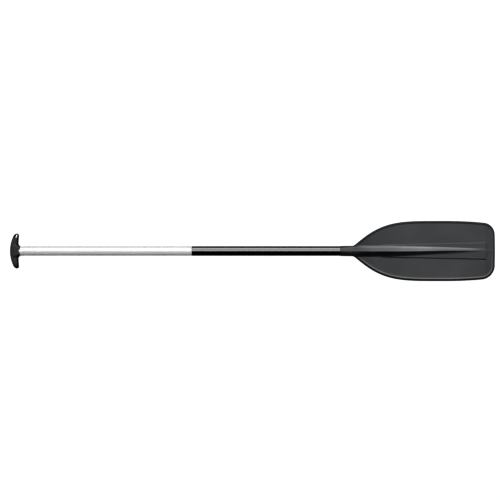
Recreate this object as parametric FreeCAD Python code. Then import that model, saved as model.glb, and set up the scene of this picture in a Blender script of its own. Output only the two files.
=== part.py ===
import FreeCAD, Part
import math
import os

# A one-piece canoe paddle: a moulded T-grip, an aluminium tube with a shrunk plastic sleeve on its
# lower half, and a moulded blade.  Millimetres.
#
# The paddle lies flat.  +X runs along the shaft from the grip to the blade tip, Y across the blade
# and +Z out of the blade's upper face.  Stations along the shaft are measured from the palm end of
# the grip; the last step moves the paddle so that the origin is the middle of the footprint, at the
# level of the surface it lies on.

Vector = FreeCAD.Vector
TOUCH = 0.01                  # lengths under this count as nothing
ALONG_SHAFT = Vector(1, 0, 0)

# Whole paddle
OVERALL_LENGTH = 1500.0
REST_RADIUS = 15.6            # neck and grip both reach this far below the shaft's axis

# Shaft tube and its sleeve
TUBE_RADIUS = 14.0
TUBE_WALL = 1.5
TUBE_START = 9.0              # bottom of the grip's socket
TUBE_END = 1022.0             # shoulder of the blade's neck
SLEEVE_START = 562.0
SLEEVE_WALL = 0.4

# Spigots inside the tube, their glue films and the foam plugs behind them
BORE_RADIUS = TUBE_RADIUS - TUBE_WALL
GLUE_FILM = 0.3
SPIGOT_RADIUS = BORE_RADIUS - GLUE_FILM
SPIGOT_CORE_RADIUS = 8.0
SPIGOT_OVERLAP = 5.0          # the blade's spigot reaches this far into its neck
GLUE_MARGIN = 5.0             # bare spigot at each end of a glue film
GRIP_SPIGOT_END = 64.0
BLADE_SPIGOT_START = 932.0
PLUG_LENGTH = 40.0
PLUG_RADIUS = BORE_RADIUS

# T-grip
GRIP_HALF_WIDTH = 53.9
PALM_RADIUS = 107.0
FINGER_EDGE = 24.2            # station of the edge that the fingers hook round
FINGER_HOOK = 3.0             # the ends of that edge lie this much nearer the blade
END_ROUNDING = 5.5
END_ROUNDING_POWER = 14
GRIP_TIP_STATION = 21.0
GRIP_OFFSETS = (10.0, 20.0, 29.0, 37.0, 43.5, 48.5, 51.7)   # sections of the bar, on both sides
COLLAR_ROOT = 12.0            # the collar starts inside the bar
COLLAR_ROOT_WIDE = 22.0       # half width, half height and corner radius of its sections
COLLAR_ROOT_HIGH = 15.2
COLLAR_ROOT_CORNER = 11.0
COLLAR_BEND = 24.0        # from here it closes quickly towards the tube
COLLAR_BEND_WIDE = 18.5
COLLAR_BEND_HIGH = 14.8
COLLAR_BEND_CORNER = 9.0
COLLAR_END = 30.5
COLLAR_LIP_HALF = 13.0        # the lip is square with round corners
COLLAR_LIP_CORNER = 5.0
GRIP_CORE_START = 6.0

# Lanyard slot through one end of the grip
SLOT_WIDTH = 6.0
SLOT_LENGTH = 11.0
SLOT_STATION = 18.6
SLOT_OFFSET = 45.3
SLOT_TILT = 23.5              # degrees from Y towards the blade

# Blade outline: half width = full * (1 - t**ROUNDNESS)**SHOULDER_POWER from the root to the widest
# station, with t running from 1 down to 0, and a slow taper after it
BLADE_HALF_WIDTH = 92.7
BLADE_ROOT = 1038.8
BLADE_WIDEST = 1335.0
BLADE_ROUNDNESS = 4.08
SHOULDER_POWER = 1.46
TAPER_DEPTH = 10.0
TAPER_POWER = 2.5
END_ARC_SAG = 2.0             # the end edge bows out by this much
SIDE_START = 1056.0           # the flat plate starts here, inside the neck
SIDE_POINTS = 16              # points along each long edge, closer together near the neck
SIDE_SPACING = 1.3
UPPER_CORNER_RADIUS = 36.0
LOWER_CORNER_RADIUS = 43.0

# Blade thickness, as half thicknesses each side of the middle plane
RIM_HALF = 3.2
RIM_WIDTH = 6.5
RIM_ROUNDING = 2.2
PANEL_HALF = 2.0
PLATEAU_HALF = 2.6
PLATEAU_START = 1090.0
PLATEAU_END = 1462.0
PLATEAU_START_OFFSET = 18.0     # half the band's width at each end
PLATEAU_END_OFFSET = 26.5

# Neck and spine: stations, half widths and half heights of the spine past the round neck
NECK_START_RADIUS = 15.05
NECK_THICK_STATION = 1048.0
NECK_CORE_END = 1060.0
SPINE_STATIONS = (1100, 1160, 1220, 1290, 1350, 1410, 1472)
SPINE_WIDTHS = (17.5, 19.0, 19.0, 17.0, 14.0, 10.5, 6.0)
SPINE_HEIGHTS = (13.8, 11.9, 10.0, 7.8, 5.9, 4.2, 2.4)


def at(station, y=0.0, z=0.0):
    """Return the point at a station along the shaft, with its offsets across and up."""
    return Vector(station, y, z)


def rod(radius, start, end):
    """Return a solid cylinder on the shaft's axis between two stations."""
    return Part.makeCylinder(radius, end - start, at(start), ALONG_SHAFT)


def pipe(outer, inner, start, end):
    """Return a tube on the shaft's axis between two stations."""
    return rod(outer, start, end).cut(rod(inner, start - 1, end + 1))


def make_tube():
    """Return the aluminium tube, open at both ends."""
    return pipe(TUBE_RADIUS, BORE_RADIUS, TUBE_START, TUBE_END)


def make_sleeve():
    """Return the sleeve that is shrunk onto the tube's lower half."""
    return pipe(TUBE_RADIUS + SLEEVE_WALL, TUBE_RADIUS, SLEEVE_START, TUBE_END)


def make_glue_film(start, end):
    """Return the glue between a spigot and the tube's bore."""
    return pipe(BORE_RADIUS, SPIGOT_RADIUS, start, end)


def palm_edge(y):
    """Return the station of the grip's palm edge at an offset across the grip."""
    return PALM_RADIUS - math.sqrt(PALM_RADIUS ** 2 - y ** 2)


def finger_edge(y):
    """Return the station of the grip's finger edge at an offset; the ends hook forwards a little."""
    return FINGER_EDGE + FINGER_HOOK * (abs(y) / GRIP_HALF_WIDTH) ** 4


def grip_thickness(y):
    """Return the bar's half thickness at an offset; it is full in the middle and thin at the ends."""
    return REST_RADIUS * math.sqrt(1 - (abs(y) / GRIP_HALF_WIDTH) ** 3)


def grip_section(y):
    """Return an elliptical wire across the grip's bar, drawn in towards the rounded ends."""
    rounding = END_ROUNDING * (abs(y) / GRIP_HALF_WIDTH) ** END_ROUNDING_POWER
    palm = palm_edge(y) + rounding
    finger = finger_edge(y) - rounding / 2
    half_thickness = grip_thickness(y)
    centre = at((palm + finger) / 2, y)
    along = (finger - palm) / 2
    to_finger = centre + Vector(along, 0, 0)
    to_top = centre + Vector(0, 0, half_thickness)
    if half_thickness > along:
        ellipse = Part.Ellipse(to_top, to_finger, centre)
    else:
        ellipse = Part.Ellipse(to_finger, to_top, centre)
    return Part.Wire([ellipse.toShape()])


def grip_bar():
    """Return the grip's crescent bar, lofted from one rounded end to the other."""
    stations = [-offset for offset in reversed(GRIP_OFFSETS)] + [0.0] + list(GRIP_OFFSETS)
    ends = [Part.Vertex(at(GRIP_TIP_STATION, side * GRIP_HALF_WIDTH)) for side in (-1, 1)]
    return Part.makeLoft(ends[:1] + [grip_section(y) for y in stations] + ends[1:], True)


def rounded_rectangle(station, half_y, half_z, corner):
    """Return a rectangular wire with round corners, across the shaft at a station."""
    inner_y = half_y - corner
    inner_z = half_z - corner
    centres = ((inner_y, inner_z), (-inner_y, inner_z), (-inner_y, -inner_z), (inner_y, -inner_z))
    arcs = []
    for quarter, (y, z) in enumerate(centres):
        angles = [math.radians(90 * quarter + turn) for turn in (0, 45, 90)]
        points = [at(station, y + corner * math.cos(a), z + corner * math.sin(a)) for a in angles]
        arcs.append(Part.Arc(*points))
    edges = []
    for arc, following in zip(arcs, arcs[1:] + arcs[:1]):
        edges.append(arc.toShape())
        edges.append(Part.makeLine(arc.EndPoint, following.StartPoint))
    return Part.Wire(edges)


def grip_collar():
    """Return the collar that narrows from the bar to the tube; its corners reach furthest."""
    sections = [
        rounded_rectangle(COLLAR_ROOT, COLLAR_ROOT_WIDE, COLLAR_ROOT_HIGH, COLLAR_ROOT_CORNER),
        rounded_rectangle(COLLAR_BEND, COLLAR_BEND_WIDE, COLLAR_BEND_HIGH, COLLAR_BEND_CORNER),
        rounded_rectangle(COLLAR_END, COLLAR_LIP_HALF, COLLAR_LIP_HALF, COLLAR_LIP_CORNER),
    ]
    return Part.makeLoft(sections, True)


def lanyard_slot():
    """Return the cutter for the round-ended slot through one end of the grip."""
    height = 2 * REST_RADIUS + 2
    radius = SLOT_WIDTH / 2
    straight = SLOT_LENGTH - SLOT_WIDTH
    slot = Part.makeBox(SLOT_WIDTH, straight, height, Vector(-radius, -straight / 2, -height / 2))
    for end in (-straight / 2, straight / 2):
        slot = slot.fuse(Part.makeCylinder(radius, height, Vector(0, end, -height / 2)))
    slot.rotate(Vector(0, 0, 0), Vector(0, 0, 1), -SLOT_TILT)
    slot.translate(at(SLOT_STATION, SLOT_OFFSET))
    return slot


def make_grip():
    """Return the T-grip: bar, collar, socket for the tube, cored spigot and lanyard slot."""
    body = grip_bar().fuse(grip_collar())
    body = body.cut(rod(TUBE_RADIUS, TUBE_START, COLLAR_END + 1))
    body = body.fuse(rod(SPIGOT_RADIUS, TUBE_START, GRIP_SPIGOT_END))
    body = body.cut(rod(SPIGOT_CORE_RADIUS, GRIP_CORE_START, GRIP_SPIGOT_END + 1))
    return body.cut(lanyard_slot()).removeSplitter()


def blade_half_width(station):
    """Return the blade's half width at a station between its root and its end."""
    if station < BLADE_WIDEST:
        t = (BLADE_WIDEST - station) / (BLADE_WIDEST - BLADE_ROOT)
        return BLADE_HALF_WIDTH * (1 - t ** BLADE_ROUNDNESS) ** SHOULDER_POWER
    t = (station - BLADE_WIDEST) / (OVERALL_LENGTH - BLADE_WIDEST)
    return BLADE_HALF_WIDTH - TAPER_DEPTH * t ** TAPER_POWER


def side_curve(side, inset, end_station):
    """Return the blade's long edge on one side, moved inwards by an inset."""
    points = []
    for step in range(SIDE_POINTS + 1):
        station = SIDE_START + (end_station - SIDE_START) * (step / SIDE_POINTS) ** SIDE_SPACING
        points.append(at(station, side * (blade_half_width(station) - inset)))
    curve = Part.BSplineCurve()
    curve.interpolate(points)
    return curve


def outline_slab(inset, bottom, top):
    """Return a slab of the blade's outline, moved inwards by an inset, between two heights."""
    end_station = OVERALL_LENGTH - END_ARC_SAG - inset
    upper = side_curve(1, inset, end_station)
    lower = side_curve(-1, inset, end_station)
    nose = at(end_station + END_ARC_SAG)
    root_edge = Part.makeLine(lower.StartPoint, upper.StartPoint)
    end_edge = Part.Arc(upper.EndPoint, nose, lower.EndPoint).toShape()
    wire = Part.Wire([root_edge, upper.toShape(), end_edge, lower.toShape()])
    slab = Part.Face(wire).extrude(Vector(0, 0, top - bottom))
    slab.translate(Vector(0, 0, bottom))
    corners = ((upper.EndPoint, UPPER_CORNER_RADIUS), (lower.EndPoint, LOWER_CORNER_RADIUS))
    for corner, radius in corners:
        edge = upright_edge(slab, corner)
        slab = slab.makeFillet(radius - inset, [edge])
    return slab


def upright_edge(solid, corner):
    """Return the vertical edge of a slab that stands at a corner of its outline."""
    for edge in solid.Edges:
        ends = [vertex.Point for vertex in edge.Vertexes]
        if len(ends) == 2 and all(math.hypot(p.x - corner.x, p.y - corner.y) < TOUCH for p in ends):
            return edge
    raise ValueError("the slab has no upright edge at this corner")


def round_rim(slab):
    """Return the slab with its outer edge rounded on both faces."""
    edges = []
    for edge in slab.Edges:
        flat = edge.BoundBox.ZLength < TOUCH
        at_root = edge.BoundBox.XLength < TOUCH and edge.BoundBox.XMin < SIDE_START + RIM_WIDTH
        if flat and not at_root:
            edges.append(edge)
    return slab.makeFillet(RIM_ROUNDING, edges)


def blade_plate():
    """Return the flat part of the blade: a raised rim all round a thinner panel."""
    plate = round_rim(outline_slab(0, -RIM_HALF, RIM_HALF))
    above = outline_slab(RIM_WIDTH, PANEL_HALF, RIM_HALF + 1)
    below = outline_slab(RIM_WIDTH, -RIM_HALF - 1, -PANEL_HALF)
    return plate.cut(above).cut(below)


def blade_plateau():
    """Return the raised band along the middle of both faces."""
    corners = [
        at(PLATEAU_START, -PLATEAU_START_OFFSET, -PLATEAU_HALF),
        at(PLATEAU_END, -PLATEAU_END_OFFSET, -PLATEAU_HALF),
        at(PLATEAU_END, PLATEAU_END_OFFSET, -PLATEAU_HALF),
        at(PLATEAU_START, PLATEAU_START_OFFSET, -PLATEAU_HALF),
    ]
    face = Part.Face(Part.makePolygon(corners + corners[:1]))
    return face.extrude(Vector(0, 0, 2 * PLATEAU_HALF))


def lens(station, half_width, height):
    """Return a wire of two arcs across the spine; equal sizes make it a circle."""
    left = at(station, -half_width)
    right = at(station, half_width)
    over = Part.Arc(left, at(station, 0, height), right).toShape()
    under = Part.Arc(right, at(station, 0, -height), left).toShape()
    return Part.Wire([over, under])


def blade_spine():
    """Return the round neck and the ridge it fades into, tapering to nothing near the tip."""
    sections = [
        lens(TUBE_END, NECK_START_RADIUS, NECK_START_RADIUS),
        lens(NECK_THICK_STATION, REST_RADIUS, REST_RADIUS),
    ]
    for station, half_width, height in zip(SPINE_STATIONS, SPINE_WIDTHS, SPINE_HEIGHTS):
        sections.append(lens(station, half_width, height))
    return Part.makeLoft(sections, True)


def make_blade():
    """Return the blade: plate, plateau, spine and neck, with its cored spigot."""
    blade = blade_plate().fuse([blade_plateau(), blade_spine()])
    blade = blade.fuse(rod(SPIGOT_RADIUS, BLADE_SPIGOT_START, TUBE_END + SPIGOT_OVERLAP))
    blade = blade.cut(rod(SPIGOT_CORE_RADIUS, BLADE_SPIGOT_START - 1, NECK_CORE_END))
    return blade.removeSplitter()


def make_pieces():
    """Return each piece of the paddle under its node's name, still at its station."""
    grip_plug_end = GRIP_SPIGOT_END + PLUG_LENGTH
    blade_plug_start = BLADE_SPIGOT_START - PLUG_LENGTH
    blade_glue_start = BLADE_SPIGOT_START + GLUE_MARGIN
    return {
        "t_grip": make_grip(),
        "shaft_tube": make_tube(),
        "shaft_sleeve": make_sleeve(),
        "blade": make_blade(),
        "grip_glue_film": make_glue_film(TUBE_START + GLUE_MARGIN, GRIP_SPIGOT_END - GLUE_MARGIN),
        "blade_glue_film": make_glue_film(blade_glue_start, TUBE_END - GLUE_MARGIN),
        "grip_float_plug": rod(PLUG_RADIUS, GRIP_SPIGOT_END, grip_plug_end),
        "blade_float_plug": rod(PLUG_RADIUS, blade_plug_start, BLADE_SPIGOT_START),
    }


def main():
    """Place every piece in the paddle's own frame and write it as a STEP file."""
    os.makedirs("parts", exist_ok=True)
    to_frame = Vector(-OVERALL_LENGTH / 2, 0, REST_RADIUS)
    for name, shape in make_pieces().items():
        shape.translate(to_frame)
        box = shape.BoundBox
        if not shape.isValid():
            raise ValueError(name + " is not a valid shape")
        print(f"{name:18} solids {len(shape.Solids)}  volume {shape.Volume / 1000:8.2f} cm3  "
              f"x {box.XMin:8.2f} {box.XMax:8.2f}  y {box.YMin:7.2f} {box.YMax:7.2f}  "
              f"z {box.ZMin:6.2f} {box.ZMax:6.2f}")
        shape.exportStep(os.path.join("parts", name + ".step"))


main()
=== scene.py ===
import logging
import math
from dataclasses import dataclass
from enum import Enum

import bpy
import numpy as np
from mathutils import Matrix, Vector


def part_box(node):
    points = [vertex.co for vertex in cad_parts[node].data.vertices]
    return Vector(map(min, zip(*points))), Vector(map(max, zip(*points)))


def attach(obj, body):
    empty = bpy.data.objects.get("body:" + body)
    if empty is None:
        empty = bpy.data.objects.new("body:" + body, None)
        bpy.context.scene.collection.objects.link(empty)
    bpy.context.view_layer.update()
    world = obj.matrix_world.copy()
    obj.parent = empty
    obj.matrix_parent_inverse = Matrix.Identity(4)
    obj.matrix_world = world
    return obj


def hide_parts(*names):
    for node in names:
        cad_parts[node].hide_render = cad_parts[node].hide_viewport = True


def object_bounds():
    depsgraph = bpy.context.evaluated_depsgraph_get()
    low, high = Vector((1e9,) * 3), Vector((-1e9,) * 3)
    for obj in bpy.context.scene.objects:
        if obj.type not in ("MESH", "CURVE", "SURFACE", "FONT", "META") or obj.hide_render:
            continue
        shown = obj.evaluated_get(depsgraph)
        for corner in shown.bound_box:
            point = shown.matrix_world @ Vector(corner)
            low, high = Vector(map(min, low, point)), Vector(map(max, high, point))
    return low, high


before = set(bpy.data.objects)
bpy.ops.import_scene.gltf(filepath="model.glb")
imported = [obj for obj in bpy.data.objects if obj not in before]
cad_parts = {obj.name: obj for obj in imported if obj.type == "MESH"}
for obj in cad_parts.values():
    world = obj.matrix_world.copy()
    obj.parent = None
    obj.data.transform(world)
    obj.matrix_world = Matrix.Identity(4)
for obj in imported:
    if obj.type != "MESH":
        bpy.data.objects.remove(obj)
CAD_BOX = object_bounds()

MM = 0.001
BODY = "root"
VALUE_SOCKET = "NodeSocketFloat"
LOG = logging.getLogger("paddle")


def smooth_step(low: float, high: float, value: np.ndarray) -> np.ndarray:
    """Ease from 0 at low to 1 at high with level ends.

    Args:
        low: value where the result leaves 0.
        high: value where the result reaches 1; it may lie below low.
        value: numbers to ease.

    Returns:
        3t^2 - 2t^3, with t the clipped share of the way from low to high.
    """
    t = np.clip((value - low) / (high - low), 0.0, 1.0)
    return t * t * (3.0 - 2.0 * t)


def soft_max(a: np.ndarray, b: np.ndarray, blend: np.ndarray | float) -> np.ndarray:
    """Join two heights as their larger one, with a fillet where they are nearly equal.

    Args:
        a: first heights.
        b: second heights.
        blend: difference within which the fillet acts.

    Returns:
        max(a, b) plus a quarter of blend where they cross, fading out as a square.
    """
    near = np.clip(1.0 - np.abs(a - b) / np.maximum(blend, 1e-9), 0.0, 1.0)
    return np.maximum(a, b) + 0.25 * blend * near * near


def bell(value: np.ndarray, middle: float, width: float) -> np.ndarray:
    """Return exp(-((value - middle) / width)^2): 1 at the middle, nearly nothing two widths away."""
    return np.exp(-(((value - middle) / width) ** 2))


@dataclass(frozen=True)
class Ramp:
    """A smooth change from 0 at one value to 1 at another, which may be the smaller of the two."""

    start: float
    stop: float

    def of(self, value: np.ndarray) -> np.ndarray:
        """Return the ramp's height at each value."""
        return smooth_step(self.start, self.stop, value)


@dataclass(frozen=True)
class Datum:
    """Where the paddle's own measures lie in the frame.

    A piece is worked out as (station, across, up) in millimetres: the station runs from the palm end
    of the grip along the shaft, and across and up are measured from the shaft's axis.
    """

    palm: float
    axis_height: float

    @classmethod
    def from_frame(cls) -> "Datum":
        """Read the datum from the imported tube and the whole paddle's box."""
        low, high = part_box("shaft_tube")
        return cls(palm=CAD_BOX[0].x, axis_height=(low.z + high.z) / 2)

    def place(self, points: np.ndarray) -> np.ndarray:
        """Turn (station, across, up) in millimetres into frame coordinates in metres."""
        return points * MM + np.array([self.palm, 0.0, self.axis_height])

    def stations(self, node: str) -> tuple[float, float]:
        """Return the first and last station of a CAD node, in millimetres."""
        low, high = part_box(node)
        return (low.x - self.palm) / MM, (high.x - self.palm) / MM

    def radius(self, node: str) -> float:
        """Return half the height of a CAD node, in millimetres: a round node's radius."""
        low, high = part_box(node)
        return (high.z - low.z) / 2 / MM


class SkinMesh:
    """One mesh gathered from grids of point numbers over a shared list of points."""

    def __init__(self, datum: Datum) -> None:
        """Start an empty mesh.

        Args:
            datum: what will place its points in the frame.
        """
        self.datum = datum
        self.points: list[np.ndarray] = []
        self.faces: list[np.ndarray] = []
        self.marks: dict[str, list[np.ndarray]] = {}
        self.count = 0

    def add(self, points: np.ndarray, **marks: np.ndarray) -> np.ndarray:
        """Add points with their marks.

        Args:
            points: array of any grid shape whose last axis is (station, across, up).
            marks: a number for each point, under the attribute's name.

        Returns:
            The points' numbers, in the grid's shape.
        """
        grid = points.shape[:-1]
        size = int(np.prod(grid))
        for name in set(marks) | set(self.marks):
            before = self.marks.setdefault(name, [np.zeros(self.count)])
            before.append(np.broadcast_to(marks.get(name, 0.0), grid).reshape(-1))
        self.points.append(points.reshape(-1, 3))
        self.count += size
        return np.arange(self.count - size, self.count).reshape(grid)

    def skin(self, index: np.ndarray, outwards: bool = True) -> None:
        """Lay quads between neighbouring numbers of a grid; outwards keeps their turning sense.

        Args:
            index: a grid of point numbers.
            outwards: whether the quads keep their turning sense.
        """
        quads = np.stack([index[:-1, :-1], index[1:, :-1], index[1:, 1:], index[:-1, 1:]], axis=-1)
        quads = quads.reshape(-1, 4)
        self.faces.append(quads if outwards else quads[:, ::-1])

    def cap(self, ring: np.ndarray, centre: np.ndarray, outwards: bool = True) -> None:
        """Close a ring of numbers with a fan of triangles to one new point at its centre.

        Args:
            ring: the numbers round the hole.
            centre: where the new point lies.
            outwards: whether the triangles keep their turning sense.
        """
        middle = np.full(len(ring), self.add(centre.reshape(1, 3))[0])
        fan = np.stack([ring, np.roll(ring, -1), middle], axis=-1)
        self.faces.append(fan if outwards else fan[:, ::-1])

    def build(self, name: str, sharp_degrees: float) -> bpy.types.Object:
        """Make the Blender object.

        Args:
            name: the piece's name.
            sharp_degrees: edges that turn further than this stay crisp.

        Returns:
            The object, at the origin, with its place in its mesh.
        """
        points = self.datum.place(np.concatenate(self.points))
        loops = np.concatenate([face.reshape(-1) for face in self.faces]).astype(np.int32)
        sizes = np.concatenate([np.full(len(face), face.shape[1]) for face in self.faces])
        starts = np.concatenate([[0], np.cumsum(sizes)[:-1]]).astype(np.int32)
        mesh = bpy.data.meshes.new(name)
        mesh.vertices.add(len(points))
        mesh.vertices.foreach_set("co", points.astype(np.float32).reshape(-1))
        mesh.loops.add(len(loops))
        mesh.loops.foreach_set("vertex_index", loops)
        mesh.polygons.add(len(starts))
        mesh.polygons.foreach_set("loop_start", starts)
        for mark, parts in self.marks.items():
            layer = mesh.attributes.new(mark, "FLOAT", "POINT")
            layer.data.foreach_set("value", np.concatenate(parts).astype(np.float32))
        mesh.update(calc_edges=True)
        mesh.validate()
        mesh.shade_smooth()
        mesh.set_sharp_from_angle(angle=math.radians(sharp_degrees))
        piece = bpy.data.objects.new(name, mesh)
        bpy.context.scene.collection.objects.link(piece)
        return piece


def turned_points(profile: np.ndarray, angles: np.ndarray) -> np.ndarray:
    """Carry a profile round the shaft's axis.

    Args:
        profile: rows of (station, radius).
        angles: turning angles in radians.

    Returns:
        A grid of (station, radius * cos(angle), radius * sin(angle)).
    """
    station, radius = profile[:, :1], profile[:, 1:]
    across = radius * np.cos(angles)
    return np.stack([np.broadcast_to(station, across.shape), across, radius * np.sin(angles)], axis=-1)


def closed_turn(shell: SkinMesh, profile: np.ndarray, sides: int) -> None:
    """Skin a closed profile, turned all the way round, as a watertight ring-shaped wall.

    Args:
        shell: the mesh to add to.
        profile: rows of (station, radius).
        sides: how many steps make the full turn.
    """
    angles = np.arange(sides) * 2.0 * math.pi / sides
    index = shell.add(turned_points(profile, angles))
    index = np.concatenate([index, index[:1]])
    shell.skin(np.concatenate([index, index[:, :1]], axis=1), outwards=False)


class Maths(Enum):
    """Operations of the Math node."""

    ADD = "ADD"
    SUBTRACT = "SUBTRACT"
    MULTIPLY = "MULTIPLY"
    MAXIMUM = "MAXIMUM"
    ABSOLUTE = "ABSOLUTE"


class Graph:
    """A node tree with short ways to add and join nodes."""

    def __init__(self, tree: bpy.types.NodeTree) -> None:
        """Wrap an empty node tree."""
        self.tree = tree

    def node(self, kind: str, **settings: object) -> bpy.types.Node:
        """Add a node of a kind and set its properties.

        Args:
            kind: the node type.
            settings: its properties by name.

        Returns:
            The node.
        """
        made = self.tree.nodes.new(kind)
        for name, value in settings.items():
            setattr(made, name, value)
        return made

    def feed(self, node: bpy.types.Node, socket: str | int, source: object) -> None:
        """Give a node's input a link, if the source is a socket, or else a plain value.

        Args:
            node: the node to feed.
            socket: its input.
            source: another socket, or a value.
        """
        if isinstance(source, bpy.types.NodeSocket):
            self.tree.links.new(source, node.inputs[socket])
        else:
            node.inputs[socket].default_value = source

    def maths(self, operation: Maths, first: object, second: object = 0.0) -> bpy.types.NodeSocket:
        """Return the result of a Math node on two sources.

        Args:
            operation: what to work out.
            first: a socket or a number.
            second: a socket or a number.

        Returns:
            The result.
        """
        made = self.node("ShaderNodeMath", operation=operation.value)
        self.feed(made, 0, first)
        self.feed(made, 1, second)
        return made.outputs[0]

    def remap(
        self, value: object, low: float, high: float, to_low: float, to_high: float
    ) -> bpy.types.NodeSocket:
        """Return a value eased from one range to another, clamped at both ends.

        Args:
            value: what to ease.
            low: where it starts.
            high: where it stops.
            to_low: the result at the start.
            to_high: the result at the stop.

        Returns:
            The eased value.
        """
        made = self.node("ShaderNodeMapRange", interpolation_type="SMOOTHSTEP")
        for socket, source in enumerate((value, low, high, to_low, to_high)):
            self.feed(made, socket, source)
        return made.outputs[0]

    def stretched(self, scale: tuple[float, float, float]) -> bpy.types.NodeSocket:
        """Return Object coordinates scaled by a different amount along each axis.

        Args:
            scale: the three amounts.

        Returns:
            The coordinates.
        """
        where = self.node("ShaderNodeTexCoord")
        made = self.node("ShaderNodeMapping")
        self.feed(made, "Vector", where.outputs["Object"])
        made.inputs["Scale"].default_value = scale
        return made.outputs[0]

    def noise(self, where: object, scale: object, detail: float = 2.0) -> bpy.types.NodeSocket:
        """Return a noise texture's value.

        Args:
            where: the coordinates.
            scale: how fine it is.
            detail: how many finer layers it has.

        Returns:
            The value, about 0.5 on average.
        """
        made = self.node("ShaderNodeTexNoise")
        self.feed(made, "Vector", where)
        self.feed(made, "Scale", scale)
        self.feed(made, "Detail", detail)
        return made.outputs[0]

    def blend(self, share: object, first: object, second: object) -> bpy.types.NodeSocket:
        """Return a colour mixed from two by a share.

        Args:
            share: 0 for the first and 1 for the second.
            first: a colour or a socket.
            second: a colour or a socket.

        Returns:
            The colour.
        """
        made = self.node("ShaderNodeMix", data_type="RGBA")
        self.feed(made, 0, share)
        self.feed(made, 6, first)
        self.feed(made, 7, second)
        return made.outputs[2]

    def mark(self, name: str) -> bpy.types.NodeSocket:
        """Return a mesh attribute's value."""
        return self.node("ShaderNodeAttribute", attribute_name=name).outputs["Fac"]


class Effect:
    """A shader node group with named inputs and outputs, built once and placed where it is used."""

    def __init__(self, name: str, inputs: dict[str, float], outputs: tuple[str, ...]) -> None:
        """Make the group's tree with value sockets.

        Args:
            name: the group's name.
            inputs: each input's name and the value it has unless a material sets it.
            outputs: the names of its outputs.
        """
        self.tree = bpy.data.node_groups.new(name, "ShaderNodeTree")
        for socket, value in inputs.items():
            made = self.tree.interface.new_socket(socket, in_out="INPUT", socket_type=VALUE_SOCKET)
            made.default_value = value
        for socket in outputs:
            self.tree.interface.new_socket(socket, in_out="OUTPUT", socket_type=VALUE_SOCKET)
        self.graph = Graph(self.tree)
        self.start = self.graph.node("NodeGroupInput")
        self.end = self.graph.node("NodeGroupOutput")

    def place(self, graph: Graph, **values: object) -> bpy.types.Node:
        """Put the group into a material's tree with its own values; _ in a name stands for a space.

        Args:
            graph: the material's graph.
            values: its inputs by name.

        Returns:
            The group node.
        """
        made = graph.node("ShaderNodeGroup", node_tree=self.tree)
        for name, value in values.items():
            graph.feed(made, name.replace("_", " "), value)
        return made


def moulded_grain() -> Effect:
    """Make the fine spark-eroded texture of a mould: small soft pits over slightly larger ones.

    Returns:
        The node group.
    """
    effect = Effect("moulded_grain", {"pits per metre": 900.0}, ("height", "tone"))
    graph = effect.graph
    where = graph.stretched((1.0, 1.0, 1.0))
    pits = effect.start.outputs["pits per metre"]
    fine = graph.noise(where, pits, 1.0)
    coarse = graph.noise(where, graph.maths(Maths.MULTIPLY, pits, 0.31), 2.0)
    fine, faint = graph.maths(Maths.MULTIPLY, fine, 0.6), graph.maths(Maths.MULTIPLY, coarse, 0.4)
    both = graph.maths(Maths.ADD, fine, faint)
    graph.feed(effect.end, "height", both)
    graph.feed(effect.end, "tone", graph.remap(coarse, 0.35, 0.65, 0.0, 1.0))
    return effect


def soft_clouds() -> Effect:
    """Make slow, even variation over a surface, as of handling or an uneven cooling skin.

    Returns:
        The node group.
    """
    effect = Effect("soft_clouds", {"size per metre": 14.0}, ("cloud",))
    graph = effect.graph
    where = graph.stretched((1.0, 1.0, 1.0))
    cloud = graph.noise(where, effect.start.outputs["size per metre"], 3.0)
    graph.feed(effect.end, "cloud", graph.remap(cloud, 0.3, 0.7, 0.0, 1.0))
    return effect


def hairline_scratches() -> Effect:
    """Make thin, sparse scratches: the narrow bright ridges of two stretched noises.

    Returns:
        The node group.
    """
    effect = Effect("hairline_scratches", {"amount": 0.5}, ("scratch",))
    graph = effect.graph
    lines = []
    for scale in ((9.0, 120.0, 60.0), (70.0, 16.0, 40.0)):
        value = graph.noise(graph.stretched(scale), 1.0, 1.0)
        off_middle = graph.maths(Maths.ABSOLUTE, graph.maths(Maths.SUBTRACT, value, 0.5))
        lines.append(graph.remap(off_middle, 0.0, 0.006, 1.0, 0.0))
    patches = graph.remap(graph.noise(graph.stretched((1.0, 1.0, 1.0)), 23.0, 2.0), 0.5, 0.66, 0.0, 1.0)
    both = graph.maths(Maths.MAXIMUM, lines[0], lines[1])
    masked = graph.maths(Maths.MULTIPLY, both, patches)
    graph.feed(effect.end, "scratch", graph.maths(Maths.MULTIPLY, masked, effect.start.outputs["amount"]))
    return effect


def drawn_lines() -> Effect:
    """Make the straight lines that drawing leaves along a tube: a noise stretched along the shaft.

    Returns:
        The node group.
    """
    effect = Effect("drawn_lines", {"strength": 1.0}, ("height", "line"))
    graph = effect.graph
    fine = graph.noise(graph.stretched((2.0, 1500.0, 1500.0)), 1.0, 2.0)
    broad = graph.noise(graph.stretched((0.8, 380.0, 380.0)), 1.0, 2.0)
    fine, broad = graph.maths(Maths.MULTIPLY, fine, 0.5), graph.maths(Maths.MULTIPLY, broad, 0.5)
    both = graph.maths(Maths.ADD, fine, broad)
    graph.feed(effect.end, "height", graph.maths(Maths.MULTIPLY, both, effect.start.outputs["strength"]))
    graph.feed(effect.end, "line", graph.remap(both, 0.35, 0.65, 0.0, 1.0))
    return effect


@dataclass(frozen=True)
class Effects:
    """The node groups that the finishes share."""

    grain: Effect
    clouds: Effect
    scratches: Effect
    lines: Effect

    @classmethod
    def make(cls) -> "Effects":
        """Build each group once."""
        return cls(moulded_grain(), soft_clouds(), hairline_scratches(), drawn_lines())


Colour = tuple[float, float, float, float]


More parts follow.
